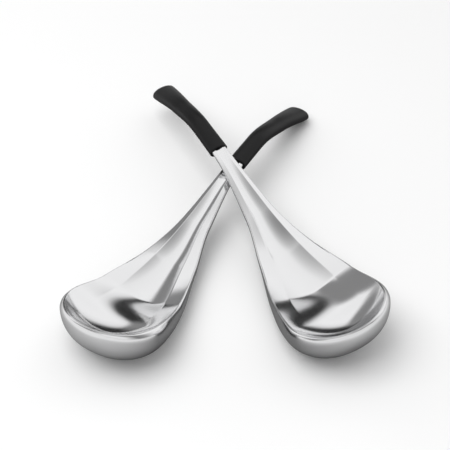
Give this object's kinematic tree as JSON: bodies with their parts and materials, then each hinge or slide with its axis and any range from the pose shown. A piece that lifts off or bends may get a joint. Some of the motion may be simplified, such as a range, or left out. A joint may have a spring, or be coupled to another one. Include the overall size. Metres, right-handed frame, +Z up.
{
  "type": "pair of salad servers",
  "caption": "Pair of polished hollow steel salad servers with deep bowls and black moulded grips, lying crossed.",
  "frame": {"origin": "middle of the pair's bounding box, on the table that it lies on", "axes": "+Z up from the table; the bowls lie towards -Y and the handles towards +Y; the upper server's bowl is on the +X side"},
  "size_m": [0.2062, 0.2612, 0.0435],
  "materials": {
    "polished_steel": "mirror-polished stainless steel",
    "forged_steel": "plain forged stainless steel, hidden in the handle",
    "hard_plastic": "hard moulded core, hidden in the grip",
    "soft_grip": "satin black moulding"
  },
  "bodies": {
    "lower_server": {"lower_face_shell": "polished_steel", "lower_back_shell": "polished_steel", "lower_tang": "forged_steel", "lower_grip_core": "hard_plastic", "lower_grip": "soft_grip"},
    "upper_server": {"upper_face_shell": "polished_steel", "upper_back_shell": "polished_steel", "upper_tang": "forged_steel", "upper_grip_core": "hard_plastic", "upper_grip": "soft_grip"}
  },
  "joints": [
    {"name": "upper_server_lift", "type": "slide", "parent": "lower_server", "child": "upper_server", "axis": [0, 0, 1], "range_m": [0, 0.15]}
  ]
}
